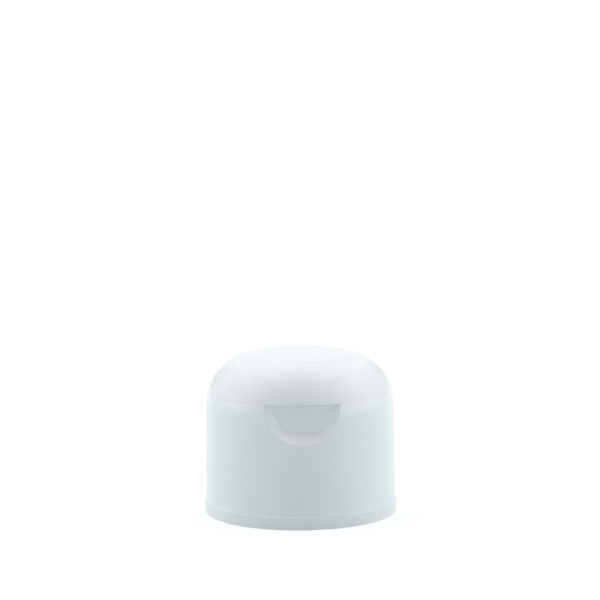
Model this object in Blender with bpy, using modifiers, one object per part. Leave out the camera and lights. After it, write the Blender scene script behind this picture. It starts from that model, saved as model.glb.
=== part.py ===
"""Domed flip-top dispensing cap: one polypropylene moulding for a 24 mm screw neck.

The base is a double-walled screw cap with a spout in its deck, the lid is a dished dome
that plugs the spout, and a thin moulded film at the back hinges them together.
Metres, +Z up. The origin is the centre of the open bottom rim, and the thumb notch faces -Y.
"""

import math

import bmesh
import bpy
from mathutils import Matrix, Vector

# Outer form
FLANGE_RADIUS = 0.0165
FLANGE_HEIGHT = 0.00208
FLANGE_STEP = 0.00022
FLANGE_RAMP = 0.0001
FLANGE_TAPER = 0.0001
FLANGE_EDGE = 0.00018
SKIRT_HEIGHT = 0.01858
SKIRT_DRAFT = 0.00013
DOME_RADIUS = 0.00888
DOME_SWEEP = math.radians(67.0)
CREST_FILLET = 0.00042
DISH_ANGLE = math.radians(10.0)
PARTING_RISE = 0.00257
PARTING_GAP = 0.0001

# Walls of the base
SKIRT_WALL = 0.0012
SHOULDER_WALL = 0.0012
DECK_WALL = 0.00115
DECK_DROP = 0.0010
COLLAR_HEIGHT = 0.00115
COLLAR_WALL = 0.0011
COLLAR_CLEARANCE = 0.0005
COLLAR_EDGE = 0.00028
COLLAR_BEAD = 0.00018
COLLAR_BEAD_DROP = 0.00038

# Neck socket, which comes out 24.1 mm across for a 24 mm screw neck, and its seal
SKIRT_SPACE = 0.00185
NECK_WALL = 0.00105
NECK_RAISE = 0.0012
SEAL_SPACE = 0.0020
SEAL_WALL = 0.0005
SEAL_DEPTH = 0.0015
RIB_COUNT = 8
RIB_WALL = 0.0008
RIB_SHARE = 0.55

# Spout
ORIFICE_RADIUS = 0.0016
SPOUT_ROOT_RADIUS = 0.0042
SPOUT_TIP_RADIUS = 0.0030
SPOUT_HEADROOM = 0.00045
FUNNEL_RADIUS = 0.0027
ROOT_FILLET = 0.0005

# Lid
LID_WALL = 0.0011
LID_BEAD = 0.0002
LID_BEAD_RISE = 0.0004
PLUG_CLEARANCE = 0.0001
PLUG_TAPER = 0.00035
PLUG_DEPTH = 0.0013
PLUG_ROOT = 0.0006

# Thumb notch: a round mouth under the parting line, whose walls slant in to a flat back that
# narrows downwards; the taper is how much half its width loses per unit of height
NOTCH_RADIUS = 0.00642
NOTCH_DROP = 0.00035
NOTCH_DEPTH = 0.0019
NOTCH_BACK_WIDTH = 0.0054
NOTCH_BACK_REACH = 0.00465
NOTCH_BACK_TAPER = 0.42
NOTCH_BACK_SQUARENESS = 6.0
NOTCH_FILLET = 0.0003
NOTCH_WALL = 0.0008
LIP_HEIGHT = 0.00075
LIP_DEPTH = 0.0001

# Living hinge at the back
FILM_WIDTH = 0.0084
FILM_HEIGHT = 0.0015
FILM_THICKNESS = 0.0003
FILM_GROOVE = 0.0001
FILM_GROOVE_WIDTH = 0.0005
FILM_WINDOW = 0.0015
FILM_WINDOW_HEIGHT = 0.0009
FILM_BAND = 0.0015
FILM_GAP = 0.0001
PAD_MARGIN = 0.0008
PAD_PROUD = 0.00005
PAD_SLANT = 0.0018
PAD_EDGE = 0.0005
BASE_PAD_HEIGHT = 0.0030
LID_PAD_HEIGHT = 0.0008

# Facets of a full turn, and the merge distance that closes the turned seams
TURN_STEPS = 60
NOTCH_STEPS = 48
WELD = 0.000001

# Heights and radii that follow from the sizes above
skirt_top_radius = FLANGE_RADIUS - FLANGE_STEP - SKIRT_DRAFT
dome_centre = (skirt_top_radius - DOME_RADIUS, SKIRT_HEIGHT)
parting_height = SKIRT_HEIGHT + PARTING_RISE
shoulder_height = parting_height - PARTING_GAP / 2
lid_bottom = parting_height + PARTING_GAP / 2
deck_height = shoulder_height - DECK_DROP
land_height = deck_height - DECK_WALL
collar_top = shoulder_height + COLLAR_HEIGHT
crest_centre = (dome_centre[0] + (DOME_RADIUS - CREST_FILLET) * math.cos(DOME_SWEEP),
                dome_centre[1] + (DOME_RADIUS - CREST_FILLET) * math.sin(DOME_SWEEP))
dish_radius = crest_centre[0] / math.sin(DISH_ANGLE) - CREST_FILLET
dish_centre_height = crest_centre[1] + (dish_radius + CREST_FILLET) * math.cos(DISH_ANGLE)
ceiling_height = dish_centre_height - dish_radius - LID_WALL
spout_top = ceiling_height - SPOUT_HEADROOM
skirt_inner_radius = skirt_top_radius - SKIRT_WALL
neck_outer_radius = skirt_inner_radius - SKIRT_SPACE
neck_bore_radius = neck_outer_radius - NECK_WALL
seal_radius = neck_bore_radius - SEAL_SPACE
web_inner = neck_bore_radius + NECK_WALL / 2
web_outer = skirt_inner_radius + SKIRT_WALL / 2
web_top = shoulder_height - SHOULDER_WALL / 2
notch_height = parting_height - NOTCH_DROP
notch_back = -(skirt_top_radius - NOTCH_DEPTH)


def dome_reach(height, inset=0.0):
    """Radius of the dome, or of a shell inset from it, at a height."""
    radius = DOME_RADIUS - inset
    rise = max(height - dome_centre[1], 0.0)
    return dome_centre[0] + math.sqrt(max(radius ** 2 - rise ** 2, 0.0))


def dome_angle(height, inset=0.0):
    """Angle from the horizontal at which the inset dome reaches a height."""
    return math.asin(min((height - dome_centre[1]) / (DOME_RADIUS - inset), 1.0))


def arc(centre, radius, start, end, steps):
    """Points of an arc in the turned section, both ends included."""
    angles = [start + (end - start) * i / steps for i in range(steps + 1)]
    return [(centre[0] + radius * math.cos(a), centre[1] + radius * math.sin(a)) for a in angles]


def ceiling_corner():
    """Where the inset dome meets the underside of the dish, as an angle on each arc."""
    reach = DOME_RADIUS - LID_WALL
    drop = dish_radius + LID_WALL
    span = (dome_centre[0], dome_centre[1] - dish_centre_height)
    distance = math.hypot(*span)
    along = (distance ** 2 + drop ** 2 - reach ** 2) / (2 * distance)
    away = math.sqrt(max(drop ** 2 - along ** 2, 0.0))
    unit = (span[0] / distance, span[1] / distance)
    corner = (unit[0] * along - unit[1] * away, dish_centre_height + unit[1] * along + unit[0] * away)
    on_dome = math.atan2(corner[1] - dome_centre[1], corner[0] - dome_centre[0])
    on_dish = math.atan2(corner[1] - dish_centre_height, corner[0])
    return on_dome, on_dish


pad_face_y = dome_reach(parting_height - FILM_HEIGHT / 2) + PAD_PROUD
hinge_axis_y = pad_face_y + FILM_GAP + FILM_THICKNESS / 2
pad_half_width = FILM_WIDTH / 2 + PAD_MARGIN


def make_collection(name):
    collection = bpy.data.collections.new(name)
    bpy.context.scene.collection.children.link(collection)
    return collection


def make_material(name, colour, roughness):
    material = bpy.data.materials.new(name)
    material.use_nodes = True
    shader = material.node_tree.nodes["Principled BSDF"]
    shader.inputs["Base Color"].default_value = (*colour, 1.0)
    shader.inputs["Roughness"].default_value = roughness
    shader.inputs["Metallic"].default_value = 0.0
    return material


def make_object(name, mesh, collection, material=None):
    made = bpy.data.objects.new(name, mesh)
    collection.objects.link(made)
    if material:
        mesh.materials.append(material)
    return made


def turned(name, section, closed, collection, material=None):
    """A section in the XZ plane, its outer side running downwards, turned about Z."""
    count = len(section)
    edges = [(i, i + 1) for i in range(count - 1)]
    if closed:
        edges.append((count - 1, 0))
    mesh = bpy.data.meshes.new(name)
    mesh.from_pydata([(r, 0.0, z) for r, z in section], edges, [])
    made = make_object(name, mesh, collection, material)
    screw = made.modifiers.new("Turn", "SCREW")
    screw.axis = "Z"
    screw.steps = TURN_STEPS
    screw.render_steps = TURN_STEPS
    screw.use_merge_vertices = True
    screw.merge_threshold = WELD
    screw.use_smooth_shade = True
    return made


def extruded(name, outline, half_width, edge_radius, collection, material=None):
    """A section in the YZ plane drawn out along X, its two end outlines rounded."""
    shape = bmesh.new()
    base = [shape.verts.new((-half_width, y, z)) for y, z in outline]
    face = shape.faces.new(base)
    grown = bmesh.ops.extrude_face_region(shape, geom=[face])
    moved = [item for item in grown["geom"] if isinstance(item, bmesh.types.BMVert)]
    bmesh.ops.translate(shape, verts=moved, vec=Vector((2 * half_width, 0, 0)))
    bmesh.ops.recalc_face_normals(shape, faces=shape.faces)
    if edge_radius:
        rims = [edge for edge in shape.edges
                if abs(edge.verts[0].co.x - edge.verts[1].co.x) < WELD]
        bmesh.ops.bevel(shape, geom=rims, offset=edge_radius, segments=3, profile=0.5,
                        affect="EDGES", clamp_overlap=True)
    mesh = bpy.data.meshes.new(name)
    shape.to_mesh(mesh)
    shape.free()
    return make_object(name, mesh, collection, material)


def combine(target, tool, operation):
    """Join, cut or clip a piece with another solid."""
    modifier = target.modifiers.new(tool.name, "BOOLEAN")
    modifier.operation = operation
    modifier.object = tool
    modifier.solver = "EXACT"


def base_section():
    """The base, from the shoulder's edge down the outside, up between the skirts and out again."""
    section = arc(dome_centre, DOME_RADIUS, dome_angle(shoulder_height), 0.0, 4)
    wall_foot = FLANGE_RADIUS - FLANGE_STEP
    section += [(wall_foot, FLANGE_HEIGHT), (FLANGE_RADIUS, FLANGE_HEIGHT - FLANGE_RAMP)]
    foot_radius = FLANGE_RADIUS - FLANGE_TAPER
    section += arc((foot_radius - FLANGE_EDGE, FLANGE_EDGE), FLANGE_EDGE, 0.0, -math.pi / 2, 3)
    section += [(skirt_inner_radius + SKIRT_DRAFT, 0.0)]
    underside = shoulder_height - SHOULDER_WALL
    section += arc((skirt_inner_radius - ROOT_FILLET, underside - ROOT_FILLET), ROOT_FILLET,
                   0.0, math.pi / 2, 2)
    section += [(neck_outer_radius, underside), (neck_outer_radius, NECK_RAISE + FLANGE_EDGE),
                (neck_outer_radius - FLANGE_EDGE, NECK_RAISE), (neck_bore_radius, NECK_RAISE),
                (neck_bore_radius, land_height)]
    section += [(seal_radius, land_height), (seal_radius, land_height - SEAL_DEPTH / 2),
                (seal_radius - SEAL_WALL / 2, land_height - SEAL_DEPTH),
                (seal_radius - SEAL_WALL, land_height - SEAL_DEPTH),
                (seal_radius - SEAL_WALL * 3 / 2, land_height)]
    section += [(FUNNEL_RADIUS, land_height), (ORIFICE_RADIUS, deck_height)]
    lip = (SPOUT_TIP_RADIUS - ORIFICE_RADIUS) / 4
    section += [(ORIFICE_RADIUS, spout_top - lip / 2), (ORIFICE_RADIUS + lip / 2, spout_top)]
    section += arc((SPOUT_TIP_RADIUS - lip, spout_top - lip), lip, math.pi / 2, 0.0, 2)
    section += [(SPOUT_ROOT_RADIUS, deck_height + ROOT_FILLET),
                (SPOUT_ROOT_RADIUS + ROOT_FILLET, deck_height)]
    return section + collar_section()


def collar_section():
    """The raised collar that stands inside the lid, with the bead that the lid snaps over."""
    top_radius = dome_reach(collar_top, LID_WALL) - COLLAR_CLEARANCE
    inner = top_radius - COLLAR_WALL
    bead_height = collar_top - COLLAR_BEAD_DROP
    return [(inner - ROOT_FILLET, deck_height), (inner, deck_height + ROOT_FILLET),
            (inner, collar_top - COLLAR_EDGE), (inner + COLLAR_EDGE, collar_top),
            (top_radius - COLLAR_EDGE, collar_top), (top_radius, collar_top - COLLAR_EDGE),
            (top_radius + COLLAR_BEAD, bead_height),
            (top_radius, bead_height - COLLAR_BEAD), (top_radius, shoulder_height)]


def lid_section():
    """The lid, from the middle of the dish over the crest, down the dome and back under it."""
    section = arc((0.0, dish_centre_height), dish_radius, -math.pi / 2, -math.pi / 2 + DISH_ANGLE, 5)
    section[0] = (0.0, section[0][1])
    section += arc(crest_centre, CREST_FILLET, math.pi / 2 + DISH_ANGLE, DOME_SWEEP, 4)[1:]
    section += arc(dome_centre, DOME_RADIUS, DOME_SWEEP, dome_angle(lid_bottom), 10)[1:]
    bead_height = lid_bottom + LID_BEAD_RISE
    bead_root = bead_height + LID_BEAD
    section += [(dome_reach(lid_bottom, LID_WALL), lid_bottom),
                (dome_reach(bead_height, LID_WALL) - LID_BEAD, bead_height)]
    on_dome, on_dish = ceiling_corner()
    section += arc(dome_centre, DOME_RADIUS - LID_WALL, dome_angle(bead_root, LID_WALL), on_dome, 7)
    plug_radius = ORIFICE_RADIUS - PLUG_CLEARANCE
    root_radius = plug_radius + PLUG_ROOT
    drop = dish_radius + LID_WALL
    at_root = -math.pi / 2 + math.asin(root_radius / drop)
    section += arc((0.0, dish_centre_height), drop, on_dish, at_root, 3)[1:]
    tip_height = spout_top - PLUG_DEPTH
    tip_radius = plug_radius - PLUG_TAPER
    section += [(plug_radius, min(spout_top, section[-1][1] - PLUG_CLEARANCE)),
                (tip_radius, tip_height + PLUG_TAPER),
                (tip_radius - PLUG_TAPER, tip_height), (0.0, tip_height)]
    return section


def notch_form(name, grow, collection):
    """The notch's form, from in front of the cap to its flat back, or the same grown by a wall."""
    back = notch_back + grow
    shape = bmesh.new()
    rings = [[], [], []]
    for i in range(NOTCH_STEPS):
        angle = 2 * math.pi * i / NOTCH_STEPS
        across, up = math.cos(angle), math.sin(angle)
        mouth = NOTCH_RADIUS + grow
        square = NOTCH_BACK_SQUARENESS
        sideways = (abs(across) + NOTCH_BACK_TAPER * max(-up, 0.0)) / NOTCH_BACK_WIDTH
        upright = abs(up) / NOTCH_BACK_REACH
        bottom = (sideways ** square + upright ** square) ** (-1 / square) + grow
        reach = dome_reach(min(notch_height + up * mouth, parting_height))
        skin = -math.sqrt(reach ** 2 - (across * mouth) ** 2) - PARTING_GAP
        for ring, radius, y in ((0, mouth, -(FLANGE_RADIUS + NOTCH_DEPTH)), (1, mouth, skin),
                                (2, bottom, back)):
            place = (across * radius, y, notch_height + up * radius)
            rings[ring].append(shape.verts.new(place))
    for near, far in zip(rings, rings[1:]):
        for i in range(NOTCH_STEPS):
            after = (i + 1) % NOTCH_STEPS
            shape.faces.new((near[i], far[i], far[after], near[after]))
    shape.faces.new(rings[0])
    shape.faces.new(rings[2][::-1])
    bmesh.ops.recalc_face_normals(shape, faces=shape.faces)
    rim = [edge for edge in shape.edges if all(vert in rings[2] for vert in edge.verts)]
    bmesh.ops.bevel(shape, geom=rim, offset=NOTCH_FILLET, segments=3, profile=0.5,
                    affect="EDGES", clamp_overlap=True)
    mesh = bpy.data.meshes.new(name)
    shape.to_mesh(mesh)
    shape.free()
    return make_object(name, mesh, collection)


def rib_forms(collection):
    """Upright webs that tie the neck socket to the outer skirt."""
    foot = web_top - (web_top - NECK_RAISE) * RIB_SHARE
    shape = bmesh.new()
    for i in range(RIB_COUNT):
        angle = 2 * math.pi * i / RIB_COUNT - math.pi / 2
        size = Matrix.Diagonal((web_outer - web_inner, RIB_WALL, web_top - foot, 1.0))
        place = Matrix.Translation(((web_outer + web_inner) / 2, 0.0, (web_top + foot) / 2))
        bmesh.ops.create_cube(shape, size=1.0, matrix=Matrix.Rotation(angle, 4, "Z") @ place @ size)
    mesh = bpy.data.meshes.new("rib_forms")
    shape.to_mesh(mesh)
    shape.free()
    return make_object("rib_forms", mesh, collection)


def wall_core(tools):
    """Everything inside the middle of the walls, cut from a pad to leave its outer part."""
    inset = min(SKIRT_WALL, LID_WALL) / 2
    section = [(0.0, crest_centre[1])]
    section += arc(dome_centre, DOME_RADIUS - inset, DOME_SWEEP, 0.0, 12)
    section += [(skirt_top_radius - inset, 0.0), (0.0, 0.0)]
    return turned("wall_core", section, False, tools)


def hinge_pad(name, side, straight, core, tools):
    """A flat boss that carries the film, below the parting line (side -1) or above it (1)."""
    near = parting_height + side * PARTING_GAP / 2
    flat = near + side * straight
    inner = pad_face_y - PAD_SLANT
    outline = [(inner, near), (pad_face_y, near), (pad_face_y, flat), (inner, flat + side * PAD_SLANT)]
    pad = extruded(name, outline, pad_half_width, PAD_EDGE, tools)
    combine(pad, core, "DIFFERENCE")
    return pad


def lip_form(tools):
    """The shallow step in the lid's edge over the notch, where a fingernail lifts it."""
    edge = dome_reach(lid_bottom)
    below = lid_bottom - LIP_HEIGHT
    top = lid_bottom + LIP_HEIGHT
    section = [(edge + LID_WALL, top), (edge + LID_WALL, below), (edge - LIP_DEPTH, below),
               (edge - LIP_DEPTH, (lid_bottom + top) / 2), (dome_reach(top), top)]
    ring = turned("lip_ring", section, True, tools)
    shape = bmesh.new()
    size = Matrix.Diagonal((2 * NOTCH_RADIUS, 2 * edge, 4 * LIP_HEIGHT, 1.0))
    place = Matrix.Translation((0.0, -edge - LID_WALL, lid_bottom))
    bmesh.ops.create_cube(shape, size=1.0, matrix=place @ size)
    mesh = bpy.data.meshes.new("lip_cut")
    shape.to_mesh(mesh)
    shape.free()
    lip = make_object("lip_cut", mesh, tools)
    combine(lip, ring, "INTERSECT")
    return lip


def make_base(collection, tools, core, material):
    base = turned("base", base_section(), True, collection, material)
    between = turned("between_skirts",
                     [(web_outer, web_top), (web_outer, NECK_RAISE),
                      (web_inner, NECK_RAISE), (web_inner, web_top)], True, tools)
    ribs = rib_forms(tools)
    liner = notch_form("notch_liner", NOTCH_WALL, tools)
    combine(liner, between, "INTERSECT")
    pad = hinge_pad("base_pad", -1, BASE_PAD_HEIGHT, core, tools)
    notch = notch_form("notch_cut", 0.0, tools)
    for tool in (ribs, liner, pad):
        combine(base, tool, "UNION")
    combine(base, notch, "DIFFERENCE")
    return base


def make_lid(collection, tools, core, material):
    lid = turned("lid", lid_section(), False, collection, material)
    combine(lid, hinge_pad("lid_pad", 1, LID_PAD_HEIGHT, core, tools), "UNION")
    combine(lid, lip_form(tools), "DIFFERENCE")
    hinge = bpy.data.objects.new("lid_hinge_axis", None)
    collection.objects.link(hinge)
    hinge.location = (0.0, hinge_axis_y, parting_height)
    lid.parent = hinge
    lid.location = -hinge.location
    return lid


def make_film(collection, tools, material):
    """The moulded film, grooved on its inner side at the fold and pierced beside its middle."""
    half = FILM_HEIGHT / 2
    groove = FILM_GROOVE_WIDTH / 2
    inner = hinge_axis_y - FILM_THICKNESS / 2
    outer = inner + FILM_THICKNESS
    outline = [(inner, parting_height - half), (outer, parting_height - half),
               (outer, parting_height + half), (inner, parting_height + half),
               (inner, parting_height + groove), (inner + FILM_GROOVE, parting_height),
               (inner, parting_height - groove)]
    film = extruded("living_hinge", outline, FILM_WIDTH / 2, 0.0, collection, material)
    shape = bmesh.new()
    for side in (-1, 1):
        middle = side * (FILM_WIDTH / 2 - FILM_BAND - FILM_WINDOW / 2)
        place = Matrix.Translation((middle, hinge_axis_y, parting_height))
        size = Matrix.Diagonal((FILM_WINDOW, 4 * FILM_THICKNESS, FILM_WINDOW_HEIGHT, 1.0))
        bmesh.ops.create_cube(shape, size=1.0, matrix=place @ size)
    mesh = bpy.data.meshes.new("film_windows")
    shape.to_mesh(mesh)
    shape.free()
    combine(film, make_object("film_windows", mesh, tools), "DIFFERENCE")
    return film


def main():
    for old in list(bpy.data.objects):
        bpy.data.objects.remove(old)
    cap = make_collection("flip_top_cap")
    tools = make_collection("cutters")
    core = wall_core(tools)
    white = (0.80, 0.84, 0.85)
    make_base(cap, tools, core, make_material("base_polypropylene", white, 0.28))
    make_lid(cap, tools, core, make_material("lid_polypropylene", white, 0.25))
    make_film(cap, tools, make_material("hinge_polypropylene", white, 0.35))
    for tool in tools.objects:
        tool.hide_render = True
        tool.display_type = "WIRE"


main()
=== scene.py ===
import math

import bmesh
import bpy
from mathutils import Matrix, Vector


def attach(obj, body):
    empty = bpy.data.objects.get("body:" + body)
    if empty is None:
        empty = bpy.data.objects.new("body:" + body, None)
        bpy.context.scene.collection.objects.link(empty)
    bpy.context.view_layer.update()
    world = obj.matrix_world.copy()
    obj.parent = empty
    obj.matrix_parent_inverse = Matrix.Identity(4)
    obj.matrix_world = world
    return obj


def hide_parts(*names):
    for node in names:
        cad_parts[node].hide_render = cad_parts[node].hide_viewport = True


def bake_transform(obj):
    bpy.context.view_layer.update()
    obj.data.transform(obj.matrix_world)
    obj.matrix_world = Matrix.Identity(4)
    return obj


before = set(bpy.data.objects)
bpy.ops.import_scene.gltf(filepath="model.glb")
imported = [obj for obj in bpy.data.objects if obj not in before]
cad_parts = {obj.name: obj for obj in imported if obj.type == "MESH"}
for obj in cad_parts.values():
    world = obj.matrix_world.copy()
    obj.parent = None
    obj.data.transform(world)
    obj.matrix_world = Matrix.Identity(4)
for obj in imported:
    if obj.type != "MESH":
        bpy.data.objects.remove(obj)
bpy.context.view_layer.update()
print("frame loaded")

# The piece sizes below are in millimetres; a finished piece is scaled to metres once
millimetre = 0.001
weldReach = 1e-4              # mm within which two points are made one
shortest = 1e-6               # mm under which a run has no direction
scene = bpy.context.scene
workshop = bpy.data.collections.new("workshop")
scene.collection.children.link(workshop)


# Camera
view = {
    "distance": 0.60937,      # metres from the cap's middle
    "pitch": 9.183,           # degrees the camera looks down
    "turn": -1.5,             # degrees round the cap
    "roll": 0.469,            # degrees
    "lens": 214.2,            # mm on a film 36 mm wide
    "aimHeight": 0.036513,    # metres, like the side step
    "sideStep": 0.000166,
}


def makeCamera(view):
    pitch, roll = math.radians(view["pitch"]), math.radians(view["roll"])
    away = Vector((0, math.cos(pitch), -math.sin(pitch)))
    up = Vector((0, math.sin(pitch), math.cos(pitch)))
    right = Vector((1, 0, 0))
    rolledRight = right * math.cos(roll) - up * math.sin(roll)
    rolledUp = right * math.sin(roll) + up * math.cos(roll)
    place = Vector((view["sideStep"], -view["distance"] * math.cos(pitch),
                    view["aimHeight"] + view["distance"] * math.sin(pitch)))
    matrix = Matrix.Identity(4)
    for column, axis in enumerate((rolledRight, rolledUp, -away, place)):
        for row in range(3):
            matrix[row][column] = axis[row]
    data = bpy.data.cameras.new("camera")
    data.sensor_width = 36
    data.lens = view["lens"]
    camera = bpy.data.objects.new("camera", data)
    scene.collection.objects.link(camera)
    camera.matrix_world = Matrix.Rotation(math.radians(view["turn"]), 4, "Z") @ matrix
    scene.camera = camera


makeCamera(view)
print("camera placed")


# Small helpers
def newPiece(name, mesh):
    piece = bpy.data.objects.new(name, mesh)
    workshop.objects.link(piece)
    return piece


def settle(piece):
    # turns the modifiers' result into the piece's own mesh
    graph = bpy.context.evaluated_depsgraph_get()
    mesh = bpy.data.meshes.new_from_object(piece.evaluated_get(graph))
    piece.modifiers.clear()
    piece.data = mesh


def combine(piece, tool, operation):
    step = piece.modifiers.new(tool.name, "BOOLEAN")
    step.operation = operation
    step.object = tool
    step.solver = "EXACT"
    settle(piece)
    bpy.data.objects.remove(tool)


def arcPoints(centre, radius, start, end, count):
    angles = [math.radians(start + (end - start) * i / count) for i in range(count + 1)]
    return [(centre[0] + radius * math.cos(a), centre[1] + radius * math.sin(a)) for a in angles]


def roundCorners(corners, steps):
    # corners are (radius, height, rounding); each rounding becomes a short arc of points
    points = []
    count = len(corners)
    for i, (x, z, rounding) in enumerate(corners):
        here = Vector((x, z))
        before = Vector(corners[i - 1][:2]) - here
        after = Vector(corners[(i + 1) % count][:2]) - here
        if rounding <= 0 or min(before.length, after.length) < shortest:
            points.append((x, z))
            continue
        before.normalize()
        after.normalize()
        half = math.acos(max(-1.0, min(1.0, before.dot(after)))) / 2
        reach = rounding / math.tan(half)
        centre = here + (before + after).normalized() * (rounding / math.sin(half))
        first, last = here + before * reach - centre, here + after * reach - centre
        sweep = first.angle_signed(last)
        for k in range(steps + 1):
            turned = first.copy()
            turned.rotate(Matrix.Rotation(-sweep * k / steps, 2))
            points.append(tuple(centre + turned))
    return points


def turnSection(name, section, steps, closed=True):
    # spins a section in the XZ plane round the cap's axis
    shape = bmesh.new()
    ring = [shape.verts.new((x, 0, z)) for x, z in section]
    pairs = list(zip(ring, ring[1:])) + ([(ring[-1], ring[0])] if closed else [])
    edges = [shape.edges.new(pair) for pair in pairs]
    bmesh.ops.spin(shape, geom=ring + edges, cent=(0, 0, 0), axis=(0, 0, 1), dvec=(0, 0, 0),
                   angle=math.tau, steps=steps, use_merge=True)
    bmesh.ops.remove_doubles(shape, verts=shape.verts, dist=weldReach)
    bmesh.ops.recalc_face_normals(shape, faces=shape.faces)
    mesh = bpy.data.meshes.new(name)
    shape.to_mesh(mesh)
    shape.free()
    return newPiece(name, mesh)


def drawAcross(name, outline, halfWidth, rounding, steps):
    # draws a YZ outline out along X and rounds the two end outlines
    shape = bmesh.new()
    face = shape.faces.new([shape.verts.new((-halfWidth, y, z)) for y, z in outline])
    grown = bmesh.ops.extrude_face_region(shape, geom=[face])
    moved = [item for item in grown["geom"] if isinstance(item, bmesh.types.BMVert)]
    bmesh.ops.translate(shape, verts=moved, vec=Vector((2 * halfWidth, 0, 0)))
    bmesh.ops.recalc_face_normals(shape, faces=shape.faces)
    rims = [e for e in shape.edges if abs(e.verts[0].co.x - e.verts[1].co.x) < shortest]
    bmesh.ops.bevel(shape, geom=rims, offset=rounding, segments=steps, profile=0.5,
                    affect="EDGES", clamp_overlap=True)
    mesh = bpy.data.meshes.new(name)
    shape.to_mesh(mesh)
    shape.free()
    return newPiece(name, mesh)


def finishPiece(piece, finish, creaseAngle=38):
    # scales to metres, merges doubles, and shades smoothly up to the crease angle
    shape = bmesh.new()
    shape.from_mesh(piece.data)
    bmesh.ops.remove_doubles(shape, verts=shape.verts, dist=2 * weldReach)
    bmesh.ops.dissolve_degenerate(shape, edges=shape.edges, dist=weldReach)
    bmesh.ops.recalc_face_normals(shape, faces=shape.faces)
    bmesh.ops.scale(shape, verts=shape.verts, vec=(millimetre,) * 3)
    mesh = bpy.data.meshes.new(piece.name)
    shape.to_mesh(mesh)
    shape.free()
    mesh.polygons.foreach_set("use_smooth", [True] * len(mesh.polygons))
    mesh.set_sharp_from_angle(angle=math.radians(creaseAngle))
    mesh.materials.clear()
    mesh.materials.append(finish)
    piece.data = mesh
    weights = piece.modifiers.new("weights", "WEIGHTED_NORMAL")
    weights.keep_sharp = True
    settle(piece)
    print(piece.name, len(piece.data.polygons), "faces")


# Materials
def linear(hexColour):
    parts = [int(hexColour[i:i + 2], 16) / 255 for i in (1, 3, 5)]
    light = [c / 12.92 if c <= 0.04045 else ((c + 0.055) / 1.055) ** 2.4 for c in parts]
    return (*light, 1.0)


def addNode(tree, kind, settings, inputs):
    # inputs maps a socket's name or number to a value, or to (node, output) to link from
    node = tree.nodes.new(kind)
    for key, value in settings.items():
        setattr(node, key, value)
    for key, value in inputs.items():
        if isinstance(value, tuple) and isinstance(value[0], bpy.types.Node):
            tree.links.new(value[0].outputs[value[1]], node.inputs[key])
        else:
            node.inputs[key].default_value = value
    return node


plastic = {
    "colour": "#E9EEF0",
    "shade": "#E5EAED",
    "roughness": 0.30,
    "ior": 1.49,
    "translucency": 0.1,      # share of the light that goes under the skin
    "scatter": 0.45,          # mm that it travels there, in a melt with white pigment
    "reach": (1.0, 0.95, 0.9),    # of that, for red, green and blue
    "sparkSize": 0.12,        # mm between the mould's spark pits, drawn twice as coarse to show
    "sparkDetail": 3.0, "sparkRoughness": 0.6,
    "sparkDepth": 0.0016,     # mm
    "flowSize": 7.0,          # mm across the faint waves left as the melt cools
    "flowDepth": 0.006,       # mm
}


def makePlastic(name, recipe):
    material = bpy.data.materials.new(name)
    material.use_nodes = True
    tree = material.node_tree
    tree.nodes.clear()
    place = addNode(tree, "ShaderNodeTexCoord", {}, {})
    flow = addNode(tree, "ShaderNodeTexNoise", {}, {
        "Vector": (place, "Object"), "Scale": 1 / (recipe["flowSize"] * millimetre),
        "Detail": 0.0})
    spark = addNode(tree, "ShaderNodeTexNoise", {}, {
        "Vector": (place, "Object"), "Scale": 1 / (recipe["sparkSize"] * millimetre),
        "Detail": recipe["sparkDetail"], "Roughness": recipe["sparkRoughness"]})
    colour = addNode(tree, "ShaderNodeMix", {"data_type": "RGBA"}, {
        0: (flow, "Fac"), 6: linear(recipe["colour"]), 7: linear(recipe["shade"])})
    waves = addNode(tree, "ShaderNodeBump", {}, {
        "Height": (flow, "Fac"), "Strength": 1.0, "Distance": recipe["flowDepth"] * millimetre})
    pits = addNode(tree, "ShaderNodeBump", {}, {
        "Height": (spark, "Fac"), "Strength": 1.0, "Distance": recipe["sparkDepth"] * millimetre,
        "Normal": (waves, "Normal")})
    shader = addNode(tree, "ShaderNodeBsdfPrincipled", {}, {
        "Base Color": (colour, 2), "Roughness": recipe["roughness"], "Normal": (pits, "Normal"),
        "IOR": recipe["ior"], "Subsurface Weight": recipe["translucency"],
        "Subsurface Radius": recipe["reach"],
        "Subsurface Scale": recipe["scatter"] * millimetre})
    addNode(tree, "ShaderNodeOutputMaterial", {}, {"Surface": (shader, "BSDF")})
    return material


# Polypropylene, injection moulded white: a soft waxy sheen over a body that lets a little light in
mouldedPolypropylene = makePlastic("moulded_polypropylene_white", plastic)
# The same melt in the film, pulled thin and bent while warm: more light passes through it
flexed = {**plastic, "roughness": 0.36, "translucency": 0.2, "flowSize": 1.5, "flowDepth": 0.003}
flexedPolypropylene = makePlastic("flexed_polypropylene_film", flexed)
print("materials made")


# The cap's outer form
form = {
    "flangeRadius": 16.5, "flangeHeight": 2.08, "flangeStep": 0.22,
    "flangeRamp": -0.03,      # below zero the step rises outwards, like a mould's witness line
    "flangeTaper": 0.08, "flangeRounding": 0.02, "footRounding": 0.06,
    "skirtHeight": 18.58, "skirtDraft": 0.13, "skirtWall": 1.2,
    "domeRadius": 8.88, "domeSweep": 67.0, "crestRounding": 0.42, "dishAngle": 10.0,
    "partingHeight": 21.15, "partingGap": 0.01, "partingRounding": 0.01,
    "turnSteps": 320, "shoulderSteps": 12,
}
skirtRadius = form["flangeRadius"] - form["flangeStep"] - form["skirtDraft"]
domeCentre = (skirtRadius - form["domeRadius"], form["skirtHeight"])
shoulderHeight = form["partingHeight"] - form["partingGap"] / 2
lidFoot = form["partingHeight"] + form["partingGap"] / 2


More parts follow.
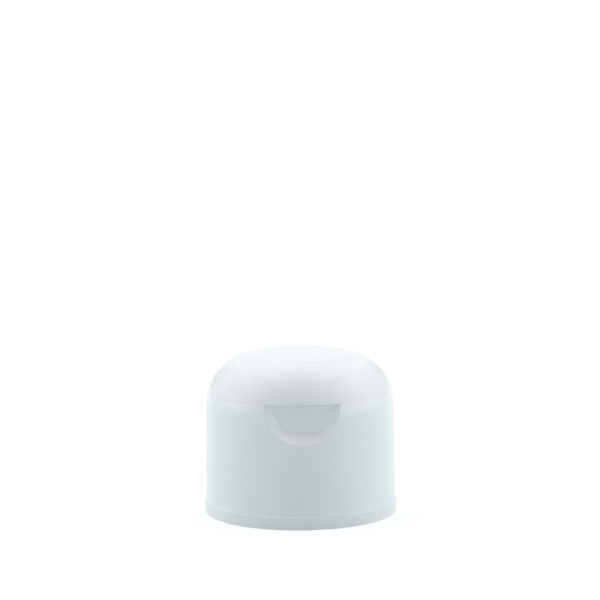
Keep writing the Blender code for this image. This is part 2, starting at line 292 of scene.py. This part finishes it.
def domeReach(height, inset=0.0):
    rise = max(height - domeCentre[1], 0.0)
    return domeCentre[0] + math.sqrt(max((form["domeRadius"] - inset) ** 2 - rise ** 2, 0.0))


def domeAngle(height, inset=0.0):
    return math.degrees(math.asin((height - domeCentre[1]) / (form["domeRadius"] - inset)))


def wallDepth(x, z):
    # how far forward (-Y) the outer wall stands at a place seen from the front
    reach = domeReach(min(z, form["partingHeight"] + notch["above"]))
    return -math.sqrt(max(reach ** 2 - x ** 2, 0.0))


# Base
base = {
    "edgeDrop": 0.05,         # the base's edge stands this far under the parting height
    "shoulderWall": 1.2, "deckWall": 1.15, "deckDrop": 1.0,
    "collarHeight": 1.15, "collarWall": 1.1, "collarClearance": 0.5, "collarBead": 0.18,
    "collarBeadDrop": 0.38, "beadRise": 0.1, "lidWall": 1.1,
    "socketBore": 12.05, "socketWall": 1.05, "socketRaise": 1.2,
    "sealOuter": 10.05, "sealWall": 0.5, "sealDepth": 1.5,
    "orifice": 1.6, "funnel": 2.7, "spoutRoot": 4.2, "spoutTip": 3.0, "spoutTop": 24.31,
    "filletLarge": 0.5, "filletSmall": 0.25, "arcSteps": 5,
}
baseRounding = {
    "innerFoot": 0.15, "socketFoot": 0.2, "socketMouth": 0.3, "sealRoot": 0.2, "sealTip": 0.1,
    "sealInner": 0.3, "funnel": 0.15, "throat": 0.3, "spoutMouth": 0.22, "spoutEdge": 0.4,
    "collarInner": 0.27, "collarOuter": 0.24, "beadRoot": 0.05, "bead": 0.08, "collarFoot": 0.1,
}
notch = {
    "radius": 6.42, "drop": 0.35, "depth": 1.9, "backWidth": 5.4, "backReach": 4.65,
    "backTaper": 0.42, "squareness": 6.0, "fillet": 0.35, "rimRounding": 0.12, "wall": 0.8,
    "steps": 144, "arcSteps": 7,
    # the cutting form starts in front of the skirt and runs past the mouth, clear of the wall
    "ahead": 4, "past": 2.5, "clear": 0.5, "above": 2,
    "probe": 0.1,             # the wall's slope at the mouth is taken over this length
}
pad = {
    "halfWidth": 5.0, "proud": 0.05, "slant": 1.8, "rounding": 0.5, "baseHeight": 3.0,
    "lidHeight": 0.8, "filmHeight": 1.5, "roundSteps": 8, "coreSteps": 128, "domeSteps": 24,
    "root": 0.55,             # how far the boss runs into the wall behind it
}
deckHeight = form["partingHeight"] - base["edgeDrop"] - base["deckDrop"]
landHeight = deckHeight - base["deckWall"]
collarTop = form["partingHeight"] - base["edgeDrop"] + base["collarHeight"]
skirtInner = skirtRadius - form["skirtWall"]
socketOuter = base["socketBore"] + base["socketWall"]
notchHeight = form["partingHeight"] - notch["drop"]
notchBack = -(skirtRadius - notch["depth"])
padFace = domeReach(form["partingHeight"] - pad["filmHeight"] / 2) + pad["proud"]


def baseSection():
    b, f, r = base, form, baseRounding
    shoulder = arcPoints(domeCentre, f["domeRadius"], domeAngle(shoulderHeight), 0.0,
                         f["shoulderSteps"])
    corners = [(x, z, 0) for x, z in shoulder]
    corners[0] = (*shoulder[0], f["partingRounding"])
    foot = f["flangeRadius"] - f["flangeStep"]
    for share in (0.2, 0.4, 0.6, 0.8):                  # rows down the skirt keep its faces short
        z = f["skirtHeight"] + (f["flangeHeight"] - f["skirtHeight"]) * share
        corners.append((skirtRadius + (foot - skirtRadius) * share, z, 0))
    corners += [(foot, f["flangeHeight"], f["flangeRounding"]),
                (f["flangeRadius"], f["flangeHeight"] - f["flangeRamp"], f["flangeRounding"]),
                (f["flangeRadius"] - f["flangeTaper"], 0.0, f["footRounding"]),
                (skirtInner + f["skirtDraft"], 0.0, r["innerFoot"])]
    underside = f["partingHeight"] - b["edgeDrop"] - b["shoulderWall"]
    corners += [(skirtInner, underside, b["filletLarge"]),
                (socketOuter, underside, b["filletSmall"]),
                (socketOuter, b["socketRaise"], r["socketFoot"]),
                (b["socketBore"], b["socketRaise"], r["socketMouth"]),
                (b["socketBore"], landHeight, b["filletSmall"])]
    s, tip = b["sealOuter"], landHeight - b["sealDepth"]
    corners += [(s, landHeight, r["sealRoot"]),
                (s, landHeight - b["sealDepth"] / 2, r["sealRoot"]),
                (s - b["sealWall"] / 2, tip, r["sealTip"]), (s - b["sealWall"], tip, r["sealTip"]),
                (s - b["sealWall"] * 1.5, landHeight, r["sealInner"])]
    corners += [(b["funnel"], landHeight, r["funnel"]), (b["orifice"], deckHeight, r["throat"]),
                (b["orifice"], b["spoutTop"], r["spoutMouth"]),
                (b["spoutTip"], b["spoutTop"], r["spoutEdge"]),
                (b["spoutRoot"], deckHeight, b["filletLarge"])]
    outer = domeReach(collarTop, b["lidWall"]) - b["collarClearance"]
    inner = outer - b["collarWall"]
    bead = collarTop - b["collarBeadDrop"]
    corners += [(inner, deckHeight, b["filletLarge"]), (inner, collarTop, r["collarInner"]),
                (outer, collarTop, r["collarOuter"]), (outer, bead + b["beadRise"], r["beadRoot"]),
                (outer + b["collarBead"], bead, r["bead"]),
                (outer, bead - b["collarBead"], r["collarFoot"]),
                (outer, shoulderHeight, r["collarFoot"])]
    return roundCorners(corners, b["arcSteps"])


def backEdge(across, up):
    # how far the pocket's flat back reaches along a ray: a rounded trapezoid, narrower at its foot
    n = notch
    power = n["squareness"]
    sideways = (abs(across) + n["backTaper"] * max(-up, 0.0)) / n["backWidth"]
    return (sideways ** power + abs(up / n["backReach"]) ** power) ** (-1 / power)


def pocketRay(angle):
    # one ray of the pocket seen from its own axis: (radius, depth) from mouth to middle of the back
    n = notch
    across, up = math.cos(angle), math.sin(angle)
    corner = Vector((backEdge(across, up), notchBack))
    edge = Vector((n["radius"], wallDepth(across * n["radius"], notchHeight + up * n["radius"])))
    beyond = edge + Vector((n["probe"], 0.0))
    beyond.y = wallDepth(across * beyond.x, notchHeight + up * beyond.x)
    wall, skin = (corner - edge).normalized(), (beyond - edge).normalized()
    points = [Vector((n["radius"] + n["past"], -skirtRadius - n["ahead"])),
              edge + skin * n["past"] - Vector((0.0, n["clear"]))]
    points += cornerArc(edge, skin, wall, n["rimRounding"], n["arcSteps"])
    points += cornerArc(corner, -wall, Vector((-1.0, 0.0)), n["fillet"], n["arcSteps"])
    return points + [Vector((0.0, notchBack))]


def cornerArc(corner, before, after, rounding, steps):
    # a rounding between two straight runs that leave the corner along before and after
    half = math.acos(max(-1.0, min(1.0, before.dot(after)))) / 2
    centre = corner + (before + after).normalized() * (rounding / math.sin(half))
    first = corner + before * (rounding / math.tan(half)) - centre
    last = corner + after * (rounding / math.tan(half)) - centre
    swing = math.atan2(first.x * last.y - first.y * last.x, first.dot(last))
    points = []
    for k in range(steps + 1):
        c, s = math.cos(swing * k / steps), math.sin(swing * k / steps)
        points.append(centre + Vector((first.x * c - first.y * s, first.x * s + first.y * c)))
    return points


def linerRay(angle):
    # the pocket's wall seen from behind: the same rays, grown by the wall
    n = notch
    across, up = math.cos(angle), math.sin(angle)
    mouth = n["radius"] + n["wall"]
    skin = wallDepth(across * mouth, notchHeight + up * mouth)
    corner = Vector((backEdge(across, up) + n["wall"], notchBack + n["wall"]))
    wall = (corner - Vector((mouth, skin))).normalized()
    rounding = n["fillet"] + n["wall"]
    return ([Vector((mouth, -skirtRadius - n["ahead"])), Vector((mouth, skin))]
            + cornerArc(corner, -wall, Vector((-1.0, 0.0)), rounding, n["arcSteps"])
            + [Vector((0.0, notchBack + n["wall"]))])


def pocketForm(name, ray):
    # joins the rays round the notch's own axis and closes them in front of the cap
    shape = bmesh.new()
    rows = []
    for i in range(notch["steps"]):
        angle = math.tau * i / notch["steps"]
        across, up = math.cos(angle), math.sin(angle)
        rows.append([shape.verts.new((across * p.x, p.y, notchHeight + up * p.x))
                     for p in ray(angle)])
    for one, two in zip(rows, rows[1:] + rows[:1]):
        for a, b, c, d in zip(one, one[1:], two[1:], two):
            shape.faces.new((a, b, c, d))
    shape.faces.new([row[0] for row in rows])
    bmesh.ops.remove_doubles(shape, verts=shape.verts, dist=weldReach)
    bmesh.ops.recalc_face_normals(shape, faces=shape.faces)
    mesh = bpy.data.meshes.new(name)
    shape.to_mesh(mesh)
    shape.free()
    return newPiece(name, mesh)


webs = {"count": 8, "thickness": 0.8, "share": 0.55, "trimSteps": 96}


def webGroup():
    # Geometry Nodes: one upright web copied round the cap's axis
    tree = bpy.data.node_groups.new("websRoundTheSocket", "GeometryNodeTree")
    face = tree.interface
    face.new_socket("Geometry", in_out="INPUT", socket_type="NodeSocketGeometry")
    sizes = {"Count": "NodeSocketInt", "Ring Radius": "NodeSocketFloat",
             "Height": "NodeSocketFloat", "Size": "NodeSocketVector",
             "Finish": "NodeSocketMaterial"}
    sockets = {name: face.new_socket(name, in_out="INPUT", socket_type=kind)
               for name, kind in sizes.items()}
    face.new_socket("Geometry", in_out="OUTPUT", socket_type="NodeSocketGeometry")
    given = addNode(tree, "NodeGroupInput", {}, {})
    ring = addNode(tree, "GeometryNodeMeshCircle", {}, {
        "Vertices": (given, "Count"), "Radius": (given, "Ring Radius")})
    web = addNode(tree, "GeometryNodeMeshCube", {}, {
        "Size": (given, "Size"), "Vertices X": 2, "Vertices Y": 2, "Vertices Z": 2})
    spot = addNode(tree, "GeometryNodeInputPosition", {}, {})
    facing = addNode(tree, "FunctionNodeAlignRotationToVector", {"axis": "X"}, {
        "Vector": (spot, "Position")})
    copies = addNode(tree, "GeometryNodeInstanceOnPoints", {}, {
        "Points": (ring, "Mesh"), "Instance": (web, "Mesh"), "Rotation": (facing, "Rotation")})
    lift = addNode(tree, "ShaderNodeCombineXYZ", {}, {"Z": (given, "Height")})
    real = addNode(tree, "GeometryNodeRealizeInstances", {}, {"Geometry": (copies, "Instances")})
    raised = addNode(tree, "GeometryNodeTransform", {}, {
        "Geometry": (real, "Geometry"), "Translation": (lift, "Vector")})
    finish = addNode(tree, "GeometryNodeSetMaterial", {}, {
        "Geometry": (raised, "Geometry"), "Material": (given, "Finish")})
    addNode(tree, "NodeGroupOutput", {}, {"Geometry": (finish, "Geometry")})
    return tree, sockets


def runNodes(name, tree, sockets, values):
    # a bare mesh carries the tree; its result is kept as a plain mesh
    piece = newPiece(name, bpy.data.meshes.new(name))
    step = piece.modifiers.new(name, "NODES")
    step.node_group = tree
    for key, value in values.items():
        step[sockets[key].identifier] = value
    settle(piece)
    return piece


def makeBase():
    piece = turnSection("capBase", baseSection(), form["turnSteps"])
    inner = base["socketBore"] + base["socketWall"] / 2
    outer = skirtInner + form["skirtWall"] / 2
    top = form["partingHeight"] - base["edgeDrop"] - base["shoulderWall"] / 2
    foot = top - (top - base["socketRaise"]) * webs["share"]
    tree, sockets = webGroup()
    ribs = runNodes("socketWebs", tree, sockets, {
        "Count": webs["count"], "Ring Radius": (inner + outer) / 2, "Height": (top + foot) / 2,
        "Size": (outer - inner, webs["thickness"], top - foot), "Finish": mouldedPolypropylene})
    space = [(outer, top), (outer, base["socketRaise"]), (inner, base["socketRaise"]), (inner, top)]
    between = turnSection("betweenSkirts", space, webs["trimSteps"])
    liner = pocketForm("pocketLiner", linerRay)
    combine(liner, between, "INTERSECT")
    combine(piece, ribs, "UNION")
    combine(piece, liner, "UNION")
    combine(piece, makePad("basePad", -1, pad["baseHeight"]), "UNION")
    combine(piece, pocketForm("thumbPocket", pocketRay), "DIFFERENCE")
    return piece


def makePad(name, side, straight):
    # the flat boss that carries the film, trimmed to the outside of the wall
    near = form["partingHeight"] + side * form["partingGap"] / 2
    flat = near + side * straight
    inner = padFace - pad["slant"]
    outline = [(inner, near), (padFace, near), (padFace, flat), (inner, flat + side * pad["slant"])]
    boss = drawAcross(name, outline, pad["halfWidth"], pad["rounding"], pad["roundSteps"])
    dome = arcPoints(domeCentre, form["domeRadius"] - pad["root"], form["domeSweep"], 0.0,
                     pad["domeSteps"])
    section = [(0.0, dome[0][1])] + dome + [(skirtRadius - pad["root"], 0.0), (0.0, 0.0)]
    core = turnSection("wallCore", section, pad["coreSteps"], closed=False)
    combine(boss, core, "DIFFERENCE")
    return boss


capBase = makeBase()
finishPiece(capBase, mouldedPolypropylene)
print("base made")


# Thread in the neck socket
thread = {
    "pitch": 3.18, "turns": 1.5, "height": 1.0, "startHeight": 5.2, "footWidth": 1.5,
    "sink": 0.15,             # how far the bead's middle lies inside the wall
    "fade": 0.09, "tip": 0.3,     # share of the length that swells, and its size at the tip
    "pathSteps": 120, "roundSteps": 24,
}


def threadGroup():
    # Geometry Nodes: a helix that fades in and out, with a rounded bead drawn along it
    tree = bpy.data.node_groups.new("threadBead", "GeometryNodeTree")
    face = tree.interface
    face.new_socket("Geometry", in_out="INPUT", socket_type="NodeSocketGeometry")
    sizes = {"Turns": "NodeSocketFloat", "Radius": "NodeSocketFloat", "Rise": "NodeSocketFloat",
             "Start Height": "NodeSocketFloat", "Bead Height": "NodeSocketFloat",
             "Bead Width": "NodeSocketFloat", "Fade": "NodeSocketFloat",
             "Finish": "NodeSocketMaterial"}
    sockets = {name: face.new_socket(name, in_out="INPUT", socket_type=kind)
               for name, kind in sizes.items()}
    face.new_socket("Geometry", in_out="OUTPUT", socket_type="NodeSocketGeometry")
    given = addNode(tree, "NodeGroupInput", {}, {})
    helix = addNode(tree, "GeometryNodeCurveSpiral", {}, {
        "Resolution": thread["pathSteps"], "Rotations": (given, "Turns"),
        "Start Radius": (given, "Radius"), "End Radius": (given, "Radius"),
        "Height": (given, "Rise")})
    along = addNode(tree, "GeometryNodeSplineParameter", {}, {})
    fromEnd = addNode(tree, "ShaderNodeMath", {"operation": "SUBTRACT"}, {
        0: 1.0, 1: (along, "Factor")})
    nearest = addNode(tree, "ShaderNodeMath", {"operation": "MINIMUM"}, {
        0: (along, "Factor"), 1: (fromEnd, "Value")})
    swell = addNode(tree, "ShaderNodeMapRange", {"interpolation_type": "SMOOTHSTEP"}, {
        "Value": (nearest, "Value"), "From Min": 0.0, "From Max": (given, "Fade"),
        "To Min": thread["tip"], "To Max": 1.0})
    sized = addNode(tree, "GeometryNodeSetCurveRadius", {}, {
        "Curve": (helix, "Curve"), "Radius": (swell, "Result")})
    upright = addNode(tree, "GeometryNodeSetCurveNormal", {"mode": "Z_UP"}, {
        "Curve": (sized, "Curve")})
    circle = addNode(tree, "GeometryNodeCurvePrimitiveCircle", {}, {
        "Resolution": thread["roundSteps"], "Radius": 1.0})
    stretch = addNode(tree, "ShaderNodeCombineXYZ", {}, {
        "X": (given, "Bead Height"), "Y": (given, "Bead Width"), "Z": 1.0})
    profile = addNode(tree, "GeometryNodeTransform", {}, {
        "Geometry": (circle, "Curve"), "Scale": (stretch, "Vector")})
    radius = addNode(tree, "GeometryNodeInputRadius", {}, {})
    bead = addNode(tree, "GeometryNodeCurveToMesh", {}, {
        "Curve": (upright, "Curve"), "Profile Curve": (profile, "Geometry"),
        "Scale": (radius, "Radius"), "Fill Caps": True})
    lift = addNode(tree, "ShaderNodeCombineXYZ", {}, {"Z": (given, "Start Height")})
    raised = addNode(tree, "GeometryNodeTransform", {}, {
        "Geometry": (bead, "Mesh"), "Translation": (lift, "Vector")})
    real = addNode(tree, "GeometryNodeRealizeInstances", {}, {"Geometry": (raised, "Geometry")})
    finish = addNode(tree, "GeometryNodeSetMaterial", {}, {
        "Geometry": (real, "Geometry"), "Material": (given, "Finish")})
    addNode(tree, "NodeGroupOutput", {}, {"Geometry": (finish, "Geometry")})
    return tree, sockets


threadTree, threadSockets = threadGroup()
neckThread = runNodes("neckThread", threadTree, threadSockets, {
    "Turns": thread["turns"], "Radius": base["socketBore"] + thread["sink"],
    "Rise": thread["pitch"] * thread["turns"], "Start Height": thread["startHeight"],
    "Bead Height": thread["height"], "Bead Width": thread["footWidth"] / 2,
    "Fade": thread["fade"], "Finish": mouldedPolypropylene})
finishPiece(neckThread, mouldedPolypropylene)
print("thread made")


# Lid
lid = {
    "wall": 1.1, "bead": 0.2, "beadRise": 0.4, "plugClearance": 0.1, "plugTaper": 0.35,
    "plugDepth": 1.3, "plugRoot": 0.6,
    "edgeRounding": 0.08, "beadRounding": 0.1, "plugRounding": 0.1, "arcSteps": 4,
    "lipRise": 0.8,           # the section has finer steps up to here, for the step over the notch
}
lidSteps = {"dish": 24, "crest": 8, "dome": 40, "lip": 8, "ceiling": 24, "under": 10}
lip = {
    "height": 0.75, "depth": 0.1, "halfWidth": 6.42, "fade": 0.6,
    "skin": 0.4,              # only points this near the outer face move
}
crestReach = form["domeRadius"] - form["crestRounding"]
crestCentre = (domeCentre[0] + crestReach * math.cos(math.radians(form["domeSweep"])),
               domeCentre[1] + crestReach * math.sin(math.radians(form["domeSweep"])))
dishTilt = math.radians(form["dishAngle"])
dishRadius = crestCentre[0] / math.sin(dishTilt) - form["crestRounding"]
dishMiddle = crestCentre[1] + (dishRadius + form["crestRounding"]) * math.cos(dishTilt)


def lidSection():
    f, l = form, lid
    sweep, steps = f["dishAngle"], lidSteps
    lipTop, lipFoot = domeAngle(lidFoot + l["lipRise"]), domeAngle(lidFoot + l["edgeRounding"])
    points = arcPoints((0, dishMiddle), dishRadius, -90, -90 + sweep, steps["dish"])
    points[0] = (0.0, points[0][1])
    points += arcPoints(crestCentre, f["crestRounding"], 90 + sweep, f["domeSweep"],
                        steps["crest"])[1:]
    points += arcPoints(domeCentre, f["domeRadius"], f["domeSweep"], lipTop, steps["dome"])[1:]
    points += arcPoints(domeCentre, f["domeRadius"], lipTop, lipFoot, steps["lip"])[1:]
    corners = [(x, z, 0) for x, z in points]
    corners.append((domeReach(lidFoot), lidFoot, f["partingRounding"]))
    inner = domeReach(lidFoot, l["wall"])
    bead = lidFoot + l["beadRise"]
    corners += [(inner, lidFoot, l["edgeRounding"]),
                (domeReach(bead, l["wall"]) - l["bead"], bead, l["beadRounding"])]
    # inside, the dome's arc and the dish's arc meet where two circles cross
    reach, drop = f["domeRadius"] - l["wall"], dishRadius + l["wall"]
    gap = Vector((domeCentre[0], domeCentre[1] - dishMiddle))
    along = (gap.length ** 2 + drop ** 2 - reach ** 2) / (2 * gap.length)
    aside = math.sqrt(max(drop ** 2 - along ** 2, 0.0))
    unit = gap.normalized()
    meet = (unit.x * along - unit.y * aside, dishMiddle + unit.y * along + unit.x * aside)
    onDome = math.degrees(math.atan2(meet[1] - domeCentre[1], meet[0] - domeCentre[0]))
    onDish = math.degrees(math.atan2(meet[1] - dishMiddle, meet[0]))
    ceiling = arcPoints(domeCentre, reach, domeAngle(bead + l["bead"], l["wall"]), onDome,
                        steps["ceiling"])
    corners += [(x, z, 0) for x, z in ceiling[:-1]] + [(*meet, 0.0)]
    plug = base["orifice"] - l["plugClearance"]
    root = plug + l["plugRoot"]
    atRoot = -90 + math.degrees(math.asin(root / drop))
    under = arcPoints((0, dishMiddle), drop, onDish, atRoot, steps["under"])[1:]
    corners += [(x, z, 0) for x, z in under]
    tip, r = base["spoutTop"] - l["plugDepth"], l["plugRounding"]
    corners += [(plug, min(base["spoutTop"], under[-1][1] - l["plugClearance"]), r),
                (plug - l["plugTaper"], tip + l["plugTaper"], r),
                (plug - 2 * l["plugTaper"], tip, r), (0.0, tip, 0)]
    return roundCorners(corners, l["arcSteps"])


def fade(value, start, end):
    t = max(0.0, min(1.0, (value - start) / (end - start)))
    return t * t * (3 - 2 * t)


def makeLid():
    piece = turnSection("domeLid", lidSection(), form["turnSteps"], closed=False)
    for corner in piece.data.vertices:                  # the shallow fingernail step over the notch
        x, y, z = corner.co
        radius = math.hypot(x, y)
        if y > 0 or radius < domeReach(z) - lip["skin"] or z > lidFoot + lip["height"]:
            continue
        level = 1 - fade(z, lidFoot, lidFoot + lip["height"])
        sideways = 1 - fade(abs(x), lip["halfWidth"] - lip["fade"], lip["halfWidth"])
        corner.co.x -= x / radius * lip["depth"] * level * sideways
        corner.co.y -= y / radius * lip["depth"] * level * sideways
    combine(piece, makePad("lidPad", 1, pad["lidHeight"]), "UNION")
    return piece


domeLid = makeLid()
finishPiece(domeLid, mouldedPolypropylene)
print("lid made")


# Living hinge
film = {
    "halfWidth": 4.2, "height": 1.5, "thickness": 0.3, "gap": 0.1, "groove": 0.12,
    "grooveWidth": 0.5, "band": 1.5, "window": 1.5, "windowHeight": 0.9, "rows": 30,
    "root": 0.35, "rootStart": 0.05,    # how far its ends run into the pads, and from where
}
hingeAxis = padFace + film["gap"] + film["thickness"] / 2


def makeFilm():
    f = film
    side = -f["halfWidth"]
    columns = [side, side + f["band"], side + f["band"] + f["window"]]
    columns += [-x for x in columns[::-1]]
    rootStart = f["windowHeight"] / 2 + f["rootStart"]
    heights = [f["height"] * (k / f["rows"] - 0.5) for k in range(f["rows"] + 1)]
    shape = bmesh.new()
    inner, outer = {}, {}
    for i, x in enumerate(columns):
        for j, t in enumerate(heights):
            dip = f["groove"] * (1 - fade(abs(t), 0.0, f["grooveWidth"] / 2))
            root = f["root"] * fade(abs(t), rootStart, f["height"] / 2)
            z = form["partingHeight"] + t
            inner[i, j] = shape.verts.new((x, hingeAxis - f["thickness"] / 2 + dip - root, z))
            outer[i, j] = shape.verts.new((x, hingeAxis + f["thickness"] / 2, z))
    # the film's cells; the windows beside the middle strap are left open
    cells = [(i, j) for i in range(len(columns) - 1) for j in range(f["rows"])
             if i not in (1, 3)
             or abs((heights[j] + heights[j + 1]) / 2) >= f["windowHeight"] / 2]
    for i, j in cells:
        low, high, farLow, farHigh = (i, j), (i, j + 1), (i + 1, j), (i + 1, j + 1)
        shape.faces.new((inner[low], inner[high], inner[farHigh], inner[farLow]))
        shape.faces.new((outer[low], outer[farLow], outer[farHigh], outer[high]))
        for beside, (a, b) in (((i - 1, j), (low, high)), ((i + 1, j), (farLow, farHigh)),
                               ((i, j - 1), (low, farLow)), ((i, j + 1), (high, farHigh))):
            if beside not in cells:
                shape.faces.new((inner[a], inner[b], outer[b], outer[a]))
    bmesh.ops.recalc_face_normals(shape, faces=shape.faces)
    mesh = bpy.data.meshes.new("livingHinge")
    shape.to_mesh(mesh)
    shape.free()
    return newPiece("livingHinge", mesh)


livingHinge = makeFilm()
finishPiece(livingHinge, flexedPolypropylene)
print("hinge film made")


# Floor and light
studio = {
    "floorReach": 4.0,        # metres from the cap to the floor's edge
    "floorColour": "#A2ACAC",
    "floorGlow": 0.67,        # what camera and sheen see added near the cap, where its shadow lies
    "glowReach": (0.12, 0.5),     # metres from the cap over which that grows to plain white
    "worldColour": (0.97, 0.99, 1, 1),
    "world": 0.03,
    "white": (1, 1, 1, 1),
}


def makeFloor():
    shape = bmesh.new()
    bmesh.ops.create_grid(shape, x_segments=8, y_segments=8, size=studio["floorReach"])
    mesh = bpy.data.meshes.new("floor")
    shape.to_mesh(mesh)
    shape.free()
    floor = bpy.data.objects.new("floor", mesh)
    scene.collection.objects.link(floor)
    # matt painted paper; it glows for camera and sheen only, and can be seen through from below
    material = bpy.data.materials.new("painted_paper_floor")
    material.use_nodes = True
    tree = material.node_tree
    tree.nodes.clear()
    rays = addNode(tree, "ShaderNodeLightPath", {}, {})
    seen = addNode(tree, "ShaderNodeMath", {"operation": "MAXIMUM"}, {
        0: (rays, "Is Camera Ray"), 1: (rays, "Is Glossy Ray")})
    seenToo = addNode(tree, "ShaderNodeMath", {"operation": "MAXIMUM"}, {
        0: (seen, "Value"), 1: (rays, "Is Transmission Ray")})
    place = addNode(tree, "ShaderNodeTexCoord", {}, {})
    away = addNode(tree, "ShaderNodeVectorMath", {"operation": "LENGTH"}, {0: (place, "Object")})
    near, far = studio["glowReach"]
    level = addNode(tree, "ShaderNodeMapRange", {"interpolation_type": "SMOOTHSTEP"}, {
        "Value": (away, "Value"), "From Min": near, "From Max": far, "To Min": studio["floorGlow"],
        "To Max": 1.0})
    strength = addNode(tree, "ShaderNodeMath", {"operation": "MULTIPLY"}, {
        0: (seenToo, "Value"), 1: (level, "Result")})
    glow = addNode(tree, "ShaderNodeEmission", {}, {
        "Color": studio["white"], "Strength": (strength, "Value")})
    paint = addNode(tree, "ShaderNodeBsdfDiffuse", {}, {"Color": linear(studio["floorColour"])})
    both = addNode(tree, "ShaderNodeAddShader", {}, {0: (glow, 0), 1: (paint, 0)})
    side = addNode(tree, "ShaderNodeNewGeometry", {}, {})
    clear = addNode(tree, "ShaderNodeBsdfTransparent", {}, {})
    whole = addNode(tree, "ShaderNodeMixShader", {}, {
        0: (side, "Backfacing"), 1: (both, 0), 2: (clear, 0)})
    addNode(tree, "ShaderNodeOutputMaterial", {}, {"Surface": (whole, 0)})
    mesh.materials.append(material)


def makeWorld():
    # plain white for the camera, a trace of fill light for the rest
    world = bpy.data.worlds.new("studio")
    scene.world = world
    world.use_nodes = True
    tree = world.node_tree
    tree.nodes.clear()
    rays = addNode(tree, "ShaderNodeLightPath", {}, {})
    white = addNode(tree, "ShaderNodeBackground", {}, {"Color": studio["white"], "Strength": 1.0})
    dim = addNode(tree, "ShaderNodeBackground", {}, {
        "Color": studio["worldColour"], "Strength": studio["world"]})
    seen = addNode(tree, "ShaderNodeMixShader", {}, {
        0: (rays, "Is Camera Ray"), 1: (dim, 0), 2: (white, 0)})
    addNode(tree, "ShaderNodeOutputWorld", {}, {"Surface": (seen, 0)})


# Softboxes stand round the cap in rings and face it. A ring's height and each direction are in
# degrees, 0 at the front and 90 at the right; a panel's width and height are in metres, and each
# direction has its watts
softboxes = {
    "distance": 0.9, "aimHeight": 0.013,
    "rings": {
        "low": {"height": 9, "panel": (0.62, 0.28), "watts": {
            30: 0.95, 60: 1.42, 90: 1.43, 130: 0.43, 180: 0.42, 230: 0.49, 270: 1.51, 300: 0.94,
            330: 0.98}},
        "middle": {"height": 33, "panel": (0.70, 0.50), "watts": {
            80: 1.81, 130: 1.03, 180: 1.28, 230: 1.20, 280: 1.65}},
        "high": {"height": 60, "panel": (0.80, 0.60), "watts": {110: 1.64, 180: 1.04, 250: 1.85}},
        "top": {"height": 89, "panel": (0.80, 0.80), "watts": {0: 0.96}},
    },
}


def makeLights():
    aim = Vector((0, 0, softboxes["aimHeight"]))
    for ring, box in softboxes["rings"].items():
        raised = math.radians(box["height"])
        for direction, watts in box["watts"].items():
            turned = math.radians(direction)
            data = bpy.data.lights.new(f"{ring}Softbox{direction}", "AREA")
            data.shape = "RECTANGLE"
            (data.size, data.size_y), data.energy = box["panel"], watts
            lamp = bpy.data.objects.new(data.name, data)
            scene.collection.objects.link(lamp)
            out = Vector((math.sin(turned) * math.cos(raised),
                          -math.cos(turned) * math.cos(raised), math.sin(raised)))
            lamp.location = aim + softboxes["distance"] * out
            lamp.rotation_euler = (-out).to_track_quat("-Z", "Y").to_euler()
            lamp.visible_camera = False


makeFloor()
makeWorld()
makeLights()
scene.view_settings.view_transform = "Standard"
print("studio set")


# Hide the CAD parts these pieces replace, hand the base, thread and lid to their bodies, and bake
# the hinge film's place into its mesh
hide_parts("base")
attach(capBase, "base")
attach(neckThread, "base")
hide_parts("lid")
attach(domeLid, "lid")
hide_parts("living_hinge")
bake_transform(livingHinge)
